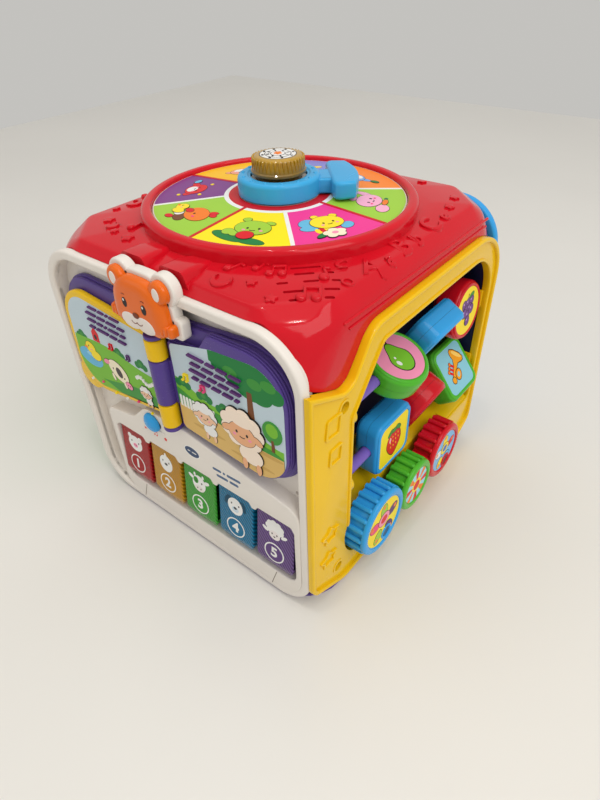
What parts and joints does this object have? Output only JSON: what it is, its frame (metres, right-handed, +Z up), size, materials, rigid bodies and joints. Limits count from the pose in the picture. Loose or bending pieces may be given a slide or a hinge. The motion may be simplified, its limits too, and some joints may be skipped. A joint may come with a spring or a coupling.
{
  "type": "baby activity cube",
  "caption": "Cube-shaped baby activity toy with a turning page book, piano keys, a spinning dial pointer, spinning picture blocks on rods and meshing gears.",
  "frame": {"origin": "centre of the base's underside, on the surface the cube stands on", "axes": "+Z up through the dial, the book and keys face -Y, the gears and spinning blocks face +X"},
  "size_m": [0.2735, 0.2785, 0.2978],
  "materials": {
    "red_plastic": "glossy",
    "white_plastic": "satin",
    "yellow_plastic": "glossy",
    "blue_plastic": "glossy",
    "green_plastic": "glossy",
    "purple_plastic": "satin",
    "lilac_plastic": "satin",
    "orange_plastic": "glossy",
    "navy_plastic": "matte",
    "steel": "satin",
    "circuit_board": "satin",
    "amber_clear": "glossy",
    "key_red_clear": "glossy",
    "key_amber_clear": "glossy",
    "key_green_clear": "glossy",
    "key_teal_clear": "glossy",
    "key_purple_clear": "glossy",
    "battery_can": "satin",
    "speaker_black": "matte"
  },
  "bodies": {
    "cube_body": {"top_cap": "red_plastic", "front_panel": "white_plastic", "back_panel": "blue_plastic", "side_panel_left": "green_plastic", "side_panel_right": "yellow_plastic", "bay_liner": "navy_plastic", "block_rod_upper": "lilac_plastic", "block_rod_lower": "lilac_plastic", "gear_axle_blue": "steel", "gear_axle_green": "steel", "gear_axle_red": "steel", "dial_disc": "white_plastic", "hub_post": "white_plastic", "light_board": "circuit_board", "button_spring": "steel", "bear_head": "orange_plastic", "book_base": "purple_plastic", "book_hinge_pin": "steel", "key_pivot_rod": "steel", "key_switch_board": "circuit_board", "base_tray": "purple_plastic", "battery_door": "purple_plastic", "battery_door_screw": "steel", "battery_1": "battery_can", "battery_2": "battery_can", "battery_contact_left": "steel", "battery_contact_right": "steel", "main_board": "circuit_board", "speaker": "speaker_black", "panel_screw_upper": "steel", "panel_screw_lower": "steel", "base_screw_1": "steel", "screw_post_1": "red_plastic", "base_screw_2": "steel", "screw_post_2": "red_plastic", "base_screw_3": "steel", "screw_post_3": "red_plastic", "base_screw_4": "steel", "screw_post_4": "red_plastic"},
    "pointer": {"pointer": "blue_plastic"},
    "light_button": {"light_button": "amber_clear"},
    "mode_switch": {"mode_switch": "blue_plastic"},
    "page_yellow": {"book_page_yellow": "yellow_plastic"},
    "page_purple": {"book_page_purple": "purple_plastic"},
    "key_1": {"key_1": "key_red_clear"},
    "key_2": {"key_2": "key_amber_clear"},
    "key_3": {"key_3": "key_green_clear"},
    "key_4": {"key_4": "key_teal_clear"},
    "key_5": {"key_5": "key_purple_clear"},
    "block_pear": {"block_pear": "green_plastic"},
    "block_blue_upper": {"block_blue_upper": "blue_plastic"},
    "block_grapes": {"block_grapes": "red_plastic"},
    "block_berry": {"block_berry": "blue_plastic"},
    "block_red_lower": {"block_red_lower": "red_plastic"},
    "block_trumpet": {"block_trumpet": "green_plastic"},
    "gear_blue": {"gear_blue": "blue_plastic"},
    "gear_green": {"gear_green": "green_plastic"},
    "gear_red": {"gear_red": "red_plastic"}
  },
  "joints": [
    {"name": "pointer_spin", "type": "hinge", "parent": "cube_body", "child": "pointer", "pos_m": [0, 0, 0.2702], "axis": [0, 0, 1], "continuous": true},
    {"name": "light_button_press", "type": "slide", "parent": "cube_body", "child": "light_button", "axis": [0, 0, -1], "range_m": [0, 0.003], "stiffness_N_per_m": 400, "springref_m": -0.002, "deforming": ["button_spring"]},
    {"name": "mode_switch_slide", "type": "slide", "parent": "cube_body", "child": "mode_switch", "axis": [1, 0, 0], "range_m": [-0.006, 0.006]},
    {"name": "page_yellow_turn", "type": "hinge", "parent": "cube_body", "child": "page_yellow", "pos_m": [0.001, -0.136, 0.175], "axis": [0, 0, 1], "range_deg": [0, 180]},
    {"name": "page_purple_turn", "type": "hinge", "parent": "cube_body", "child": "page_purple", "pos_m": [0.001, -0.136, 0.175], "axis": [0, 0, 1], "range_deg": [-180, 0]},
    {"name": "key_1_press", "type": "hinge", "parent": "cube_body", "child": "key_1", "pos_m": [-0.067, -0.122, 0.0975], "axis": [1, 0, 0], "range_deg": [0, 5], "stiffness_Nm_per_rad": 0.8, "springref_deg": -3.44},
    {"name": "key_2_press", "type": "hinge", "parent": "cube_body", "child": "key_2", "pos_m": [-0.027, -0.122, 0.0975], "axis": [1, 0, 0], "range_deg": [0, 5], "stiffness_Nm_per_rad": 0.8, "springref_deg": -3.44},
    {"name": "key_3_press", "type": "hinge", "parent": "cube_body", "child": "key_3", "pos_m": [0.013, -0.122, 0.0975], "axis": [1, 0, 0], "range_deg": [0, 5], "stiffness_Nm_per_rad": 0.8, "springref_deg": -3.44},
    {"name": "key_4_press", "type": "hinge", "parent": "cube_body", "child": "key_4", "pos_m": [0.053, -0.122, 0.0975], "axis": [1, 0, 0], "range_deg": [0, 5], "stiffness_Nm_per_rad": 0.8, "springref_deg": -3.44},
    {"name": "key_5_press", "type": "hinge", "parent": "cube_body", "child": "key_5", "pos_m": [0.093, -0.122, 0.0975], "axis": [1, 0, 0], "range_deg": [0, 5], "stiffness_Nm_per_rad": 0.8, "springref_deg": -3.44},
    {"name": "block_pear_spin", "type": "hinge", "parent": "cube_body", "child": "block_pear", "pos_m": [0.113, -0.011, 0.1655], "axis": [0, 1, 0], "continuous": true},
    {"name": "block_blue_upper_spin", "type": "hinge", "parent": "cube_body", "child": "block_blue_upper", "pos_m": [0.113, 0.0414, 0.1655], "axis": [0, 1, 0], "continuous": true},
    {"name": "block_grapes_spin", "type": "hinge", "parent": "cube_body", "child": "block_grapes", "pos_m": [0.113, 0.094, 0.1655], "axis": [0, 1, 0], "continuous": true},
    {"name": "block_berry_spin", "type": "hinge", "parent": "cube_body", "child": "block_berry", "pos_m": [0.113, -0.017, 0.0995], "axis": [0, 1, 0], "continuous": true},
    {"name": "block_red_lower_spin", "type": "hinge", "parent": "cube_body", "child": "block_red_lower", "pos_m": [0.113, 0.04, 0.0995], "axis": [0, 1, 0], "continuous": true},
    {"name": "block_trumpet_spin", "type": "hinge", "parent": "cube_body", "child": "block_trumpet", "pos_m": [0.113, 0.0945, 0.0995], "axis": [0, 1, 0], "continuous": true},
    {"name": "gear_blue_spin", "type": "hinge", "parent": "cube_body", "child": "gear_blue", "pos_m": [0.1295, -0.057, 0.05], "axis": [1, 0, 0], "continuous": true},
    {"name": "gear_green_spin", "type": "hinge", "parent": "cube_body", "child": "gear_green", "pos_m": [0.1295, -0.00344, 0.047], "axis": [1, 0, 0], "continuous": true},
    {"name": "gear_red_spin", "type": "hinge", "parent": "cube_body", "child": "gear_red", "pos_m": [0.1295, 0.04718, 0.049], "axis": [1, 0, 0], "continuous": true}
  ],
  "couplings": [
    {"joint": "gear_green_spin", "follows": "gear_blue_spin", "ratio": -1.25},
    {"joint": "gear_red_spin", "follows": "gear_blue_spin", "ratio": 1.1111}
  ]
}
